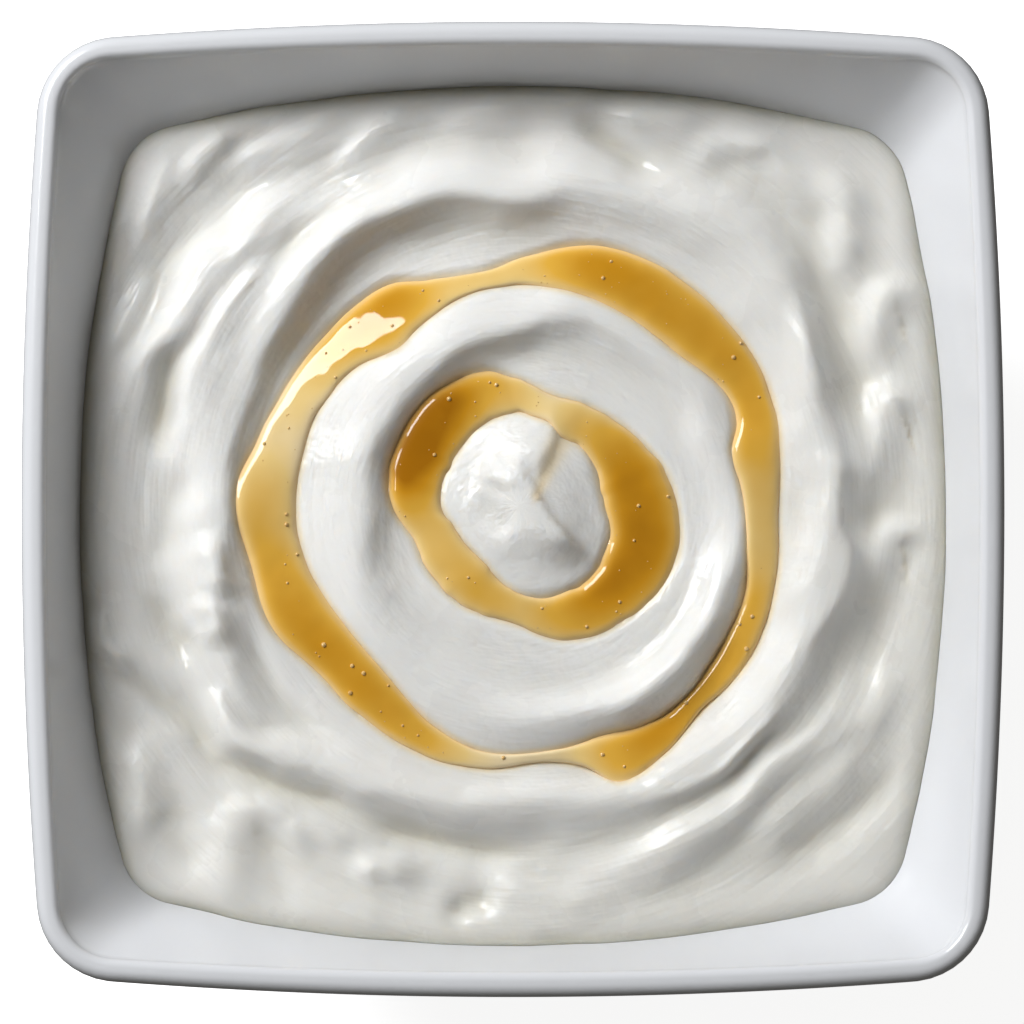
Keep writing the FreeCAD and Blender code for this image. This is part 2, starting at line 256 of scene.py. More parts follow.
# the glaze is a little wavy and not evenly bright
def makePorcelain():
    material, nodes, links, shader = newMaterial("porcelain")
    shader.inputs["Base Color"].default_value = (*bowl["glaze"], 1)
    wave = addNoise(nodes, links, scale=90.0, detail=1.0)
    bump = addNode(nodes, "ShaderNodeBump", Strength=0.12, Distance=0.0003)
    links.new(wave.outputs["Fac"], bump.inputs["Height"])
    links.new(bump.outputs["Normal"], shader.inputs["Normal"])
    roughen(nodes, links, wave, shader, found=(0.0, 1.0), wanted=bowl["roughness"])
    shader.inputs["Coat Weight"].default_value = 0.3
    shader.inputs["Coat Roughness"].default_value = 0.08
    shader.inputs["IOR"].default_value = 1.5
    return material


def makeBowl(material):
    count = bowl["pointsAround"]
    angle = np.linspace(0, 2 * math.pi, count, endpoint=False)
    direction = np.stack([np.cos(angle), np.sin(angle)], axis=1)
    outerRound = bowl["rimRounding"]
    innerRound = bowl["rimInnerRounding"]
    thick = bowl["rimThickness"]
    quarter = math.pi / 2
    rings = []

    def ring(radius, height):
        rings.append(np.column_stack([direction * np.reshape(radius, (-1, 1)),
                                      np.full(count, height)]))

    # a ring that stands off the wall by a step, square to its outline
    def outsideRing(wallHeight, step, height):
        flat = direction * wallRadius(angle, wallHeight)[:, None]
        ahead = np.roll(flat, -1, axis=0) - np.roll(flat, 1, axis=0)
        normal = np.column_stack([ahead[:, 1], -ahead[:, 0]])
        normal /= np.linalg.norm(normal, axis=1)[:, None]
        rings.append(np.column_stack([flat + normal * step, np.full(count, height)]))

    # the floor and up the inside
    for share in (0.3, 0.6, 0.85):
        ring(wallRadius(angle, floorHeight) * share, floorHeight)
    cove = floorHeight + bowl["coveHeight"]
    for height in np.concatenate([np.linspace(floorHeight, cove, 14)[:-1],
                                  np.linspace(cove, rimHeight - innerRound, 60)]):
        ring(wallRadius(angle, height), height)
    # over the rim: a tight inner edge, a flat top and a rounder outer edge
    over = [(innerRound * (1 - math.cos(turn)), innerRound * (math.sin(turn) - 1))
            for turn in np.linspace(0, quarter, 7)[1:]]
    over += [(thick - outerRound * (1 - math.sin(turn)), outerRound * (math.cos(turn) - 1))
             for turn in np.linspace(0, quarter, 10)]
    for across, drop in over:
        under = innerRound + (outerRound - innerRound) * across / thick
        outsideRing(rimHeight - under, across, rimHeight + drop)
    # down the outside, which lies lower than the inside towards the floor
    base = bowl["footHeight"]
    rounded = rimHeight - outerRound
    start = bowl["sinkFrom"]
    for t in np.linspace(0, 1, 50)[1:]:
        inside = rounded + (floorHeight - rounded) * t
        sink = (floorHeight - base) * np.clip((t - start) / (1 - start), 0, 1) ** 2
        outsideRing(inside, thick * (1 - bowl["taper"] * t), inside - sink)
    # the foot ring and the underside within it
    foot = bowl["footRadius"]
    recess = foot - bowl["footThickness"]
    soft = bowl["footRounding"]
    spread, fall = bowl["footSpread"]
    ring(np.full(count, foot + spread), base)
    ring(np.full(count, foot), base - fall)
    ring(np.full(count, foot), soft)
    for turn in np.linspace(0, quarter, 4)[1:]:
        ring(np.full(count, foot - soft + soft * math.cos(turn)), soft - soft * math.sin(turn))
    for turn in np.linspace(0, quarter, 4):
        ring(np.full(count, recess + soft - soft * math.sin(turn)), soft - soft * math.cos(turn))
    ring(np.full(count, recess), base - fall)
    ring(np.full(count, recess - spread), base)
    ring(np.full(count, recess * 0.5), base)
    points = np.concatenate(rings + [[[0, 0, floorHeight], [0, 0, base]]])
    faces = [tuple(reversed(face)) for face in ringFaces(len(rings), count)]
    # the middles of the floor and of the underside
    last = (len(rings) - 1) * count
    floorMiddle, baseMiddle = len(points) - 2, len(points) - 1
    for k in range(count):
        after = (k + 1) % count
        faces.append((k, after, floorMiddle))
        faces.append((last + after, last + k, baseMiddle))
    return newPiece("bowl_glazed", points, faces, "bowl", material)


yogurt = {
    "drop": 12.5,               # how far its level is under the rim
    "swirl": (1.0, 0.95),       # the middle of the swirl
    "mound": (2.2, 8.6),        # height and width of the mound in the middle
    "cells": 300,               # of the grid along each side
    "colour": (0.90, 0.892, 0.865),
    # painted shade: the dark warm colour that hollows, the far side and the wall's shadow are mixed
    # towards
    "paintedShadeColour": (0.43, 0.395, 0.275),
    "stain": (0.90, 0.72, 0.42),
    "stainStrength": (0.8, 0.7),    # beside the honey and in its run up the mound
    "stainReach": 0.9,          # how wide the hem beside the honey is
    "roughness": (0.13, 0.55),  # where it is wet and where it is dull
    "scatterDepth": 1.0,
    "highest": (3.0, 1.3),      # from what height crests are held down, and how far they may pass it
    "fullShadeDepth": 3.0,         # the depth of a hollow that has the full painted shade colour above
    "hollowSpans": (13, 29),    # how many cells of the grid a hollow is compared with
    "farSideShade": 0.27,            # how much painted shade the yogurt gets towards the wall in front and right, away from the key lamp
    "farSideShadeFrom": (30.0, 26.0),    # from what radius that grows, and over what distance
    "frontRight": (0.64, -0.77),
    "wallShade": 0.34,          # and the wall's painted shadow beside it all round, strongest at the back and left
    "shoulder": (1.3, 2.0),     # how far its surface drops at the wall, and from how far away
    "clearance": 0.05,          # to the wall below its edge
    "pressed": 0.06,            # how far its edge goes into the wall, so that no gap shows
    "gridInset": 3.1,           # half width of the bowl less that of the grid's even middle
    "marks": (0.75, 7.0),       # a stirring mark's width, and how often marks start anew round the swirl
    "seed": 7,
    # how folds and ridges wander from their lines: distance and size of the waves
    "wander": ((0.9, 9.0), (0.2, 3.4)),
    # lumps: size, height in the middle and what is added to that towards the wall
    "lumps": (7.0, 0.08, 0.12),
    "dents": (2.4, 0.01, 0.03),
    "calm": (34.0, 12.0),       # radius of the even middle, and over what distance that ends
    # stripes along the stirring: width, number of waves round the swirl and the same two heights
    "broadStripes": (5.0, 12, 0.08, 0.26),
    "fineStripes": (1.3, 30, 0.01, 0.045),
    # ridges that run right round the swirl: angle, radius of the crest, height, and width on
    # the inner and on the outer side
    "innerRidge": (
        (0, 28.6, 1.2, 4.0, 3.0), (20, 28.0, 1.4, 3.2, 3.0), (40, 27.6, 1.6, 2.2, 3.0),
        (60, 26.4, 2.0, 2.4, 3.5), (80, 25.6, 2.5, 2.7, 4.2), (100, 24.2, 2.9, 2.8, 5.2),
        (120, 22.4, 3.0, 2.8, 6.2), (140, 21.3, 2.9, 2.7, 6.8), (160, 21.2, 2.8, 2.9, 6.6),
        (180, 21.8, 2.6, 3.2, 5.8), (200, 22.8, 2.2, 3.6, 5.2), (220, 24.4, 1.8, 4.6, 4.4),
        (245, 26.0, 1.6, 5.6, 4.4), (265, 27.8, 1.8, 4.4, 3.8), (285, 28.9, 2.5, 2.9, 3.2),
        (305, 29.4, 3.1, 2.8, 2.8), (325, 29.5, 3.1, 2.8, 2.6), (342, 29.2, 2.2, 3.2, 2.8),
    ),
    "outerRidge": (
        (0, 41.6, 3.4, 4.6, 4.6), (15, 41.6, 3.2, 4.8, 3.6), (25, 43.6, 3.1, 4.8, 2.9),
        (33, 44.8, 2.9, 4.8, 3.1), (42, 45.8, 2.6, 5.0, 3.6), (52, 46.4, 2.2, 5.0, 4.2),
        (68, 44.0, 2.2, 4.4, 4.6), (86, 42.2, 3.0, 3.0, 5.2), (106, 43.2, 3.6, 3.0, 4.6),
        (124, 43.8, 3.9, 3.2, 3.8), (140, 41.4, 3.5, 3.0, 3.6), (155, 40.0, 2.2, 2.6, 4.4),
        (172, 40.2, 2.1, 2.4, 4.8), (188, 40.8, 2.1, 3.0, 4.8), (205, 44.0, 2.2, 5.0, 4.0),
        (220, 48.2, 2.5, 6.0, 2.6), (232, 45.2, 2.5, 5.0, 2.7), (246, 41.4, 2.8, 4.0, 3.0),
        (262, 39.8, 3.0, 3.2, 4.8), (275, 38.6, 2.9, 2.8, 5.2), (290, 41.0, 2.6, 3.2, 3.6),
        (306, 41.0, 2.8, 3.6, 4.0), (321, 42.2, 3.3, 4.4, 4.0), (336, 42.2, 3.5, 4.8, 4.4),
        (350, 41.8, 3.7, 4.6, 4.6),
    ),
    "trough": (0.22, 2.1),      # depth of the trough outside a ridge for the ridge's height, and
                                # how far out it lies for the ridge's width
    "foldEnds": 0.36,           # share of a fold's length over which it fades at each end
    "foldCrest": 0.4,           # how softly a fold's two sides meet
    # folds, each along a curve with three points: height, width to its left and to its right,
    # where a negative height is a crease
    "folds": (
        # upper left: the long fold, the one inside it and the valleys between them
        ((-54.0, 9.0), (-45.4, 34.6), (-22.0, 47.0), 3.0, 3.2, 5.0),
        ((-55.0, 20.0), (-45.6, 41.0), (-20.0, 52.4), -1.5, 5.0, 2.4),
        ((-44.0, 5.0), (-43.2, 28.6), (-28.0, 38.4), 2.2, 1.8, 4.0),
        ((-44.6, 24.5), (-47.4, 16.5), (-46.8, 7.5), -1.6, 1.9, 1.9),
        ((-43.6, 8.0), (-45.0, 1.0), (-46.4, -8.0), -0.8, 2.4, 2.2),
        ((-35.6, 31.2), (-28.6, 40.6), (-16.0, 44.4), -1.1, 1.6, 2.4),
        # the low folds between them and the wall
        ((-49.4, 33.6), (-49.4, 43.0), (-44.4, 49.8), 1.1, 1.8, 3.0),
        ((-43.8, 44.6), (-42.0, 49.6), (-37.0, 51.0), 1.0, 1.6, 2.4),
        ((-39.4, 44.2), (-32.4, 50.4), (-22.6, 54.4), 1.2, 1.8, 3.0),
        ((-24.6, 45.8), (-19.6, 51.8), (-12.6, 55.6), 1.1, 1.6, 2.6),
        ((-11.6, 51.0), (-6.0, 55.0), (2.0, 55.6), 0.9, 1.7, 2.6),
        ((-55.4, 20.0), (-53.4, 28.0), (-47.0, 33.0), 1.0, 1.6, 2.4),
        # top
        ((7.0, 55.2), (13.6, 48.8), (21.4, 44.9), -1.1, 1.8, 2.2),
        ((12.0, 51.4), (20.0, 56.6), (27.0, 49.2), 1.2, 2.8, 2.6),
        ((22.6, 45.0), (28.4, 52.4), (36.0, 47.4), 0.9, 2.4, 1.9),
        ((28.0, 51.4), (37.2, 48.8), (40.8, 38.8), 1.1, 2.4, 2.6),
        ((39.8, 48.0), (47.2, 42.0), (45.6, 29.4), 1.7, 2.8, 2.6),
        # the three hooks along the right wall
        ((56.0, 27.0), (47.6, 35.6), (49.4, 15.0), 1.9, 3.4, 2.4),
        ((56.4, 13.0), (47.4, 21.4), (49.6, -1.0), 2.1, 3.6, 2.5),
        ((56.2, -6.4), (49.0, 4.0), (49.2, -15.0), 1.8, 3.2, 2.4),
        # small lip on the rolled ridge, and its stripes below
        ((40.0, 8.0), (47.4, 6.2), (42.4, -6.4), 1.1, 1.0, 1.9),
        ((44.6, 1.0), (46.4, -9.6), (38.0, -20.4), 0.8, 0.9, 1.4),
        ((41.4, 11.0), (41.4, 20.4), (36.0, 29.4), 0.9, 1.8, 1.6),
        # bottom right: the bright fold outside the rolled ridge and those behind it
        ((51.4, -14.0), (38.4, -42.0), (1.0, -51.6), 2.8, 4.0, 3.2),
        ((51.4, -18.6), (50.8, -25.6), (45.6, -31.2), 0.8, 2.6, 2.2),
        ((47.6, -28.4), (42.6, -39.6), (29.4, -45.4), 1.2, 2.8, 2.0),
        ((53.6, -31.0), (45.6, -45.6), (31.0, -48.6), -0.9, 2.6, 2.0),
        ((25.2, -35.0), (32.0, -31.6), (36.4, -23.4), 0.7, 1.0, 1.0),
        ((15.4, -38.4), (26.0, -36.8), (33.8, -27.4), 0.7, 1.1, 1.0),
        # bottom
        ((15.6, -51.0), (4.0, -53.6), (-4.6, -48.8), 1.1, 2.4, 2.0),
        ((-0.4, -54.0), (-6.0, -50.6), (-11.2, -54.8), -1.3, 1.9, 1.9),
        ((-21.6, -49.8), (-18.0, -44.4), (-11.2, -50.2), 1.6, 2.0, 2.2),
        # lower left: the long crease, the lumps outside it and the creases inside
        ((-58.0, -17.8), (-46.2, -25.0), (-36.2, -36.6), -1.4, 2.6, 1.5),
        ((-42.4, -31.4), (-31.7, -38.2), (-13.8, -40.0), -1.4, 2.8, 1.5),
        ((-22.4, -38.4), (-8.6, -46.8), (6.0, -46.0), -1.4, 2.8, 1.6),
        ((-36.8, -11.6), (-35.0, -25.0), (-20.6, -32.6), -1.4, 1.8, 2.6),
        ((-42.6, -15.8), (-38.8, -27.4), (-25.4, -31.6), -1.1, 1.8, 1.8),
        ((-39.6, -42.0), (-33.4, -36.8), (-27.6, -43.4), 1.2, 2.0, 2.4),
        ((-32.4, -44.6), (-26.0, -39.4), (-18.6, -46.8), 1.2, 1.9, 2.4),
        ((-38.6, -38.0), (-36.8, -46.0), (-39.8, -54.4), 0.8, 3.2, 3.2),
        ((-33.4, -41.4), (-32.4, -48.0), (-28.8, -54.0), -0.6, 3.0, 3.0),
        ((-46.6, -36.0), (-43.6, -44.6), (-42.4, -51.6), -0.7, 2.8, 2.8),
        ((-50.6, -27.0), (-48.4, -37.0), (-51.0, -46.8), 1.3, 3.2, 2.8),
        # left
        ((-56.4, -11.6), (-55.6, -18.0), (-50.2, -21.4), 1.1, 1.6, 1.6),
        ((-42.4, -2.4), (-38.2, -6.6), (-39.8, -12.0), 1.4, 1.8, 2.0),
        ((-42.6, -10.0), (-38.0, -13.8), (-40.0, -19.2), 1.4, 1.7, 1.9),
        ((-48.4, -8.4), (-47.0, -16.4), (-41.6, -21.8), -0.9, 2.0, 2.0),
        # the mound: a crest from the pinch over the peak to its tail, that falls to its right
        ((4.4, 16.0), (3.0, 3.0), (8.0, -9.0), 1.3, 6.0, 5.6),
        ((5.8, 15.4), (5.4, 9.0), (2.0, 3.6), 0.9, 1.1, 3.6),
        ((0.9, 7.6), (2.7, -0.6), (10.8, -6.8), 1.9, 0.9, 2.8),
        # the short crest that runs left from the peak, and the hollow under it
        ((-4.8, 6.0), (-0.8, 4.0), (3.2, 4.6), 1.1, 2.6, 0.9),
        ((-6.0, 2.2), (-1.6, 0.4), (0.6, -2.0), -0.6, 2.0, 2.4),
    ),
}

honey = {
    "crown": 0.62,              # how far its middle stands over its edges
    "bed": (1.0, 0.25),         # how far its groove reaches past its edges, and how deep it lies in it
    "grooveShape": (0.6, 1.4),  # how far a lean of 1 moves the deepest place, and how hollow the groove is
    "tuck": 0.12,               # how far its edge goes down into the yogurt
    "edgeSharpness": 14,        # the higher, the nearer to the edge it does
    "hemSharpness": 8,          # and the narrower the pale hem is
    "unevenEdge": (0.12, 60),   # how far its edges wander, and the number of waves round the ring
    "fullDepth": 2.1,           # the depth at which its colour is deepest
    "sections": 540,
    "across": 28,
    # its colour from no depth to the full one, and along its edges
    "colours": ((0.0, (0.97, 0.86, 0.66)), (0.28, (0.93, 0.67, 0.26)),
                (0.55, (0.83, 0.46, 0.06)), (0.80, (0.64, 0.29, 0.012)),
                (1.0, (0.42, 0.160, 0.003))),
    "hem": (0.92, 0.60, 0.26),
    "streaks": 0.14,            # how much thicker and thinner honey differ in depth
    # outline of each ring: angle, inner and outer radius, depth, and where it is deepest, from
    # -1 at its inner edge to 1 at the outer one
    "outer": (
        (0, 30.0, 34.8, 0.8, 0.0), (15, 29.3, 36.2, 1.2, 0.0), (22, 31.3, 36.9, 1.4, 0.0),
        (30, 31.6, 37.4, 1.4, 0.0), (45, 29.4, 37.7, 1.5, 0.0), (60, 29.4, 37.7, 1.6, 0.0),
        (75, 29.6, 36.9, 1.6, 0.2), (88, 29.9, 34.2, 0.9, 0.3), (100, 29.7, 32.4, 0.7, 0.2),
        (112, 28.5, 33.4, 1.0, 0.3), (120, 27.6, 35.2, 1.5, 0.4), (128, 26.8, 35.4, 1.5, 0.4),
        (140, 28.9, 35.4, 1.1, 0.3), (155, 30.0, 35.8, 0.55, 0.2), (165, 30.0, 36.7, 0.5, 0.3),
        (178, 30.1, 38.6, 0.9, 0.3), (192, 29.8, 37.2, 1.2, 0.2), (205, 28.8, 37.4, 1.5, 0.1),
        (218, 28.2, 35.4, 1.6, 0.0), (232, 28.8, 35.4, 1.5, 0.0), (248, 31.4, 35.8, 1.2, -0.1),
        (262, 33.1, 35.6, 0.4, 0.0), (275, 32.9, 34.4, 0.3, 0.0), (284, 32.6, 36.0, 0.7, 0.0),
        (290, 32.4, 39.4, 1.2, -0.1), (300, 33.7, 38.5, 1.6, -0.2), (312, 33.8, 36.7, 1.4, -0.3),
        (325, 32.8, 37.1, 1.3, -0.3), (338, 32.4, 36.4, 1.1, -0.2), (350, 30.8, 35.4, 0.8, -0.1),
    ),
    "inner": (
        (0, 11.2, 21.3, 1.8, -0.1), (15, 11.0, 20.2, 1.8, -0.1), (30, 11.4, 18.5, 1.5, 0.0),
        (45, 11.4, 17.3, 1.1, 0.0), (60, 10.9, 16.4, 0.8, 0.0), (72, 11.9, 15.9, 0.5, 0.0),
        (82, 12.3, 16.5, 0.6, 0.0), (92, 12.8, 17.6, 0.9, 0.2), (105, 12.4, 19.2, 1.2, 0.3),
        (120, 11.9, 19.5, 1.8, 0.45), (135, 11.2, 19.4, 2.2, 0.5), (150, 10.8, 18.9, 2.3, 0.5),
        (165, 10.8, 18.5, 2.0, 0.5), (180, 10.5, 17.3, 1.2, 0.3), (195, 9.2, 15.2, 0.9, 0.1),
        (210, 8.8, 15.1, 0.9, 0.0), (225, 8.6, 15.2, 1.0, 0.0), (240, 8.9, 15.4, 1.1, 0.0),
        (255, 10.1, 15.3, 1.0, 0.0), (270, 11.5, 16.0, 0.9, 0.0), (285, 12.4, 18.4, 1.1, -0.2),
        (300, 12.8, 20.0, 1.5, -0.3), (315, 13.2, 20.9, 1.8, -0.3), (330, 12.8, 22.0, 1.9, -0.2),
        (345, 12.4, 22.2, 1.9, -0.1),
    ),
    # thin honey up the mound: its middle line, its width and how much of that it loses on the way
    "run": ((8.0, 13.0), (5.4, 8.2), (3.2, 2.2), 2.2, 1.5),
}

level = rimHeight - yogurt["drop"]
edgeAngles = np.linspace(-math.pi, math.pi, 1441)
levelEdge = wallRadius(edgeAngles, np.full(edgeAngles.shape, level))


# radius and angle round the swirl
def polar(x, y):
    x = x - yogurt["swirl"][0]
    y = y - yogurt["swirl"][1]
    return np.hypot(x, y), np.degrees(np.arctan2(y, x))


def ridgeHeight(rows, radius, angle):
    crest, height, inside, outside = (closedCurve(rows, column, angle) for column in range(1, 5))
    off = radius - crest
    rise = hump(off, np.where(off < 0, inside, outside))
    depth, away = yogurt["trough"]
    return height * (rise - depth * hump(off - away * outside, outside))


# distance from a curve, how far along it that is, and which side
def nearCurve(start, bend, end, x, y, steps=16):
    best = np.full(x.shape, np.inf)
    along = np.zeros(x.shape)
    side = np.zeros(x.shape)
    start, bend, end = (np.array(point) for point in (start, bend, end))
    points = [start * (1 - t) ** 2 + bend * 2 * t * (1 - t) + end * t * t
              for t in np.linspace(0, 1, steps + 1)]
    for step, (one, two) in enumerate(zip(points, points[1:])):
        ahead = two - one
        t = ((x - one[0]) * ahead[0] + (y - one[1]) * ahead[1]) / (ahead @ ahead)
        t = np.clip(t, 0, 1)
        offX = x - one[0] - t * ahead[0]
        offY = y - one[1] - t * ahead[1]
        off = np.hypot(offX, offY)
        nearer = off < best
        best = np.where(nearer, off, best)
        along = np.where(nearer, (step + t) / steps, along)
        side = np.where(nearer, ahead[0] * offY - ahead[1] * offX, side)
    return best, along, side


# adds a fold where it reaches; it fades out towards both of its ends
def addFold(height, fold, x, y):
    start, bend, end, rise, left, right = fold
    reach = 2.6 * max(left, right)  # beyond this a hump is flat
    lowX, lowY = np.min((start, bend, end), axis=0) - reach
    highX, highY = np.max((start, bend, end), axis=0) + reach
    near = (x > lowX) & (x < highX) & (y > lowY) & (y < highY)
    off, along, side = nearCurve(start, bend, end, x[near], y[near])
    fade = np.clip(np.minimum(along, 1 - along) / yogurt["foldEnds"], 0, 1)
    fade = fade * fade * (3 - 2 * fade)
    turn = 0.5 + 0.5 * np.tanh(np.sign(side) * off / yogurt["foldCrest"])
    height[near] += rise * fade * hump(off, right + (left - right) * turn)


def groove(rows, radius, angle):
    inner, outer, depth, lean = (closedCurve(rows, column, angle) for column in range(1, 5))
    off = (radius - (inner + outer) / 2) / ((outer - inner) / 2 + honey["bed"][0])
    off = np.clip(off, -1, 1)
    # lean moves the deepest place without moving the edges
    move, hollow = honey["grooveShape"]
    off = off - lean * move * (1 - off * off)
    return -depth * np.clip(1 - off * off, 0, 1) ** hollow


def wallGap(x, y):
    return np.interp(np.arctan2(y, x), edgeAngles, levelEdge) - np.hypot(x, y)


# the height of the yogurt's top over its level
def relief(x, y):
    seed = yogurt["seed"]
    warpX, warpY = x, y
    for step, (far, size) in enumerate(yogurt["wander"]):
        warpX = warpX + far * smoothNoise(x / size, y / size, seed + step)
        warpY = warpY + far * smoothNoise(x / size, y / size, seed + 2 + step)
    radius, angle = polar(warpX, warpY)
    rise, width = yogurt["mound"]
    height = rise * hump(radius, width)
    height = height + ridgeHeight(yogurt["innerRidge"], radius, angle)
    height = height + ridgeHeight(yogurt["outerRidge"], radius, angle)
    for fold in yogurt["folds"]:
        addFold(height, fold, warpX, warpY)
    for rows in (honey["outer"], honey["inner"]):
        height = height + groove(rows, *polar(x, y))
    # the surface drops where it meets the wall
    drop, reach = yogurt["shoulder"]
    height = height - drop * hump(np.maximum(wallGap(x, y), 0), reach)
    # lumps and stripes are stronger outside the swirl
    around = np.mod(angle, 360) / 360
    even, grows = yogurt["calm"]
    outside = np.clip((radius - even) / grows, 0, 1)
    for step, (stripes, lumps) in enumerate((("broadStripes", "lumps"), ("fineStripes", "dents"))):
        wide, turns, calm, more = yogurt[stripes]
        along = smoothNoise(radius / wide, around * turns, seed + 4 + 2 * step, turns)
        height = height + (calm + more * outside) * along
        size, calm, more = yogurt[lumps]
        height = height + (calm + more * outside) * smoothNoise(x / size, y / size, seed + 5 + 2 * step)
    # no crest stands higher than the bowl's free space
    over, room = yogurt["highest"]
    return np.where(height > over, over + room * np.tanh((height - over) / room), height)


def makeYogurtLook():
    material, nodes, links, shader = newMaterial("yogurt")
    # creamy colour, a little uneven, with painted shade in hollows, towards the front and right and beside
    # the wall, and stained where honey touches it
    cloud = addNoise(nodes, links, scale=60.0, detail=1.0)
    tone = nodes.new("ShaderNodeValToRGB")
    stops = tone.color_ramp.elements
    for stop, position, share in zip(stops, (0.3, 0.7), (0.975, 1.0)):
        stop.position = position
        stop.color = (*(value * share for value in yogurt["colour"]), 1)
    links.new(cloud.outputs["Fac"], tone.inputs["Fac"])
    # painted shade, read from the attribute named hollow
    colour = mixBy(nodes, links, "hollow", tone.outputs["Color"], yogurt["paintedShadeColour"])
    colour = mixBy(nodes, links, "stain", colour, yogurt["stain"])
    links.new(colour, shader.inputs["Base Color"])
    # wet in some places and dull in others
    wet = addNoise(nodes, links, scale=75.0, detail=4.0)
    roughen(nodes, links, wet, shader, found=(0.40, 0.58), wanted=yogurt["roughness"])
    # fine curd and stirring marks
    grain = addNoise(nodes, links, scale=760.0, detail=1.0)
    bump = addNode(nodes, "ShaderNodeBump", Strength=0.5, Distance=0.00016)
    links.new(grain.outputs["Fac"], bump.inputs["Height"])
    path = addNode(nodes, "ShaderNodeAttribute", attribute_name="swirl")
    streak = addNode(nodes, "ShaderNodeTexNoise", Scale=1.0, Detail=1.0)
    links.new(path.outputs["Vector"], streak.inputs["Vector"])
    marks = addNode(nodes, "ShaderNodeBump", Strength=0.5, Distance=0.00022)
    links.new(streak.outputs["Fac"], marks.inputs["Height"])
    links.new(bump.outputs["Normal"], marks.inputs["Normal"])
    links.new(marks.outputs["Normal"], shader.inputs["Normal"])
    shader.inputs["IOR"].default_value = 1.4
    shader.subsurface_method = "BURLEY"
    shader.inputs["Subsurface Weight"].default_value = 1.0
    shader.inputs["Subsurface Radius"].default_value = (1.0, 0.75, 0.45)
    shader.inputs["Subsurface Scale"].default_value = yogurt["scatterDepth"] * mm
    return material


# how much the honey colours the yogurt: a soft hem beside it and the run up the mound
def honeyStain(x, y):
    radius, angle = polar(x, y)
    beside, upMound = yogurt["stainStrength"]
    tint = np.zeros(x.shape)
    for rows in (honey["outer"], honey["inner"]):
        inner = closedCurve(rows, 1, angle)
        outer = closedCurve(rows, 2, angle)
        off = np.maximum(inner - radius, radius - outer)
        tint = np.maximum(tint, beside * np.clip(1 - off / yogurt["stainReach"], 0, 1) ** 2)
    start, bend, end, width, narrowing = honey["run"]
    off, along, side = nearCurve(start, bend, end, x, y)
    return np.maximum(tint, upMound * hump(off, width - narrowing * along))


# painted shade: how deep each point lies under its surroundings, more of it towards the wall in front and
# right, away from the key lamp, and the wall's painted shadow beside it
def paintedShade(points, grid):
    tint = np.zeros(len(points))
    spans = yogurt["hollowSpans"]
    around = sum(evenOut(evenOut(grid, span, 0), span, 1) for span in spans) / len(spans)
    tint[:grid.size] = (around - grid).ravel() / yogurt["fullShadeDepth"]
    away = np.hypot(points[:, 0], points[:, 1])
    front = 0.5 + 0.5 * (points[:, :2] @ yogurt["frontRight"]) / np.maximum(away, 1)
    start, grows = yogurt["farSideShadeFrom"]
    tint = np.maximum(tint, 0) + front * np.clip((away - start) / grows, 0, 1) * yogurt["farSideShade"]
    gap = np.maximum(wallGap(points[:, 0], points[:, 1]), 0)
    # a narrow shade with a wider, weaker one round it, weakest in front and right
    shade = 0.6 * hump(gap, 1.4) + 0.4 * hump(gap, 3.4)
    return tint + yogurt["wallShade"] * (1.8 - front) * shade


def makeYogurt(material):
    cells = yogurt["cells"]
    row = cells + 1
    side = np.linspace(-1, 1, row)
    u, v = np.meshgrid(side, side, indexing="ij")
    angle = np.arctan2(v, u).ravel()
    # a grid whose outermost lines are bent to the line where the yogurt meets the wall
    far = np.maximum(np.abs(u), np.abs(v)).ravel()
    square = 1 / np.maximum(np.abs(np.cos(angle)), np.abs(np.sin(angle)))
    reach = halfWidth - yogurt["gridInset"]
    meets = levelEdge
    for _ in range(3):
        rise = relief(meets * np.cos(edgeAngles), meets * np.sin(edgeAngles))
        meets = wallRadius(edgeAngles, level + rise) + yogurt["pressed"]
    edge = np.interp(angle, edgeAngles, meets)
    scale = reach + (edge / square - reach) * far**3
    x = u.ravel() * scale
    y = v.ravel() * scale
    height = level + relief(x, y)
    top = np.column_stack([x, y, height])
    faces = []
    for i in range(cells):
        for j in range(cells):
            a = i * row + j
            faces.append((a, a + row, a + row + 1, a + 1))
    # down the wall and over the floor
    border = ([i * row for i in range(cells)] + [cells * row + j for j in range(cells)]
              + [i * row + cells for i in range(cells, 0, -1)] + list(range(cells, 0, -1)))
    rim = top[border]
    rimAngle = np.arctan2(rim[:, 1], rim[:, 0])
    rings = []
    bottom = floorHeight + 2 * yogurt["clearance"]
    for t in (0.15, 0.4, 0.7, 0.85, 0.93, 1.0):
        z = rim[:, 2] + (bottom - rim[:, 2]) * t
        radius = wallRadius(rimAngle, z) - yogurt["clearance"]
        rings.append(np.column_stack([radius * np.cos(rimAngle), radius * np.sin(rimAngle), z]))
    points = np.concatenate([top] + rings + [[[0, 0, bottom]]])
    count = len(border)
    index = [border] + [[len(top) + ring * count + k for k in range(count)]
                        for ring in range(len(rings))]
    for upper, lower in zip(index, index[1:]):
        for k in range(count):
            after = (k + 1) % count
            faces.append((upper[k], lower[k], lower[after], upper[after]))
    for k in range(count):
        faces.append((index[-1][k], len(points) - 1, index[-1][(k + 1) % count]))
    piece = newPiece("yogurt_stirred", points, faces, "yogurt", material)
    paintPoints(piece, "stain", honeyStain(points[:, 0], points[:, 1]))
    # painted shade in hollows, towards the front and right and of the wall's shadow, kept in the attribute
    # named hollow
    paintPoints(piece, "hollow", paintedShade(points, height.reshape(row, row)))
    # where the stirring marks lie: close together across the swirl and long along it
    turned, angle = polar(points[:, 0], points[:, 1])
    angle = np.radians(angle)
    width, length = yogurt["marks"]
    swirl = np.column_stack([turned / width, length * np.cos(angle), length * np.sin(angle)])
    layer = piece.data.attributes.new("swirl", "FLOAT_VECTOR", "POINT")
    layer.data.foreach_set("vector", swirl.ravel())
    return piece


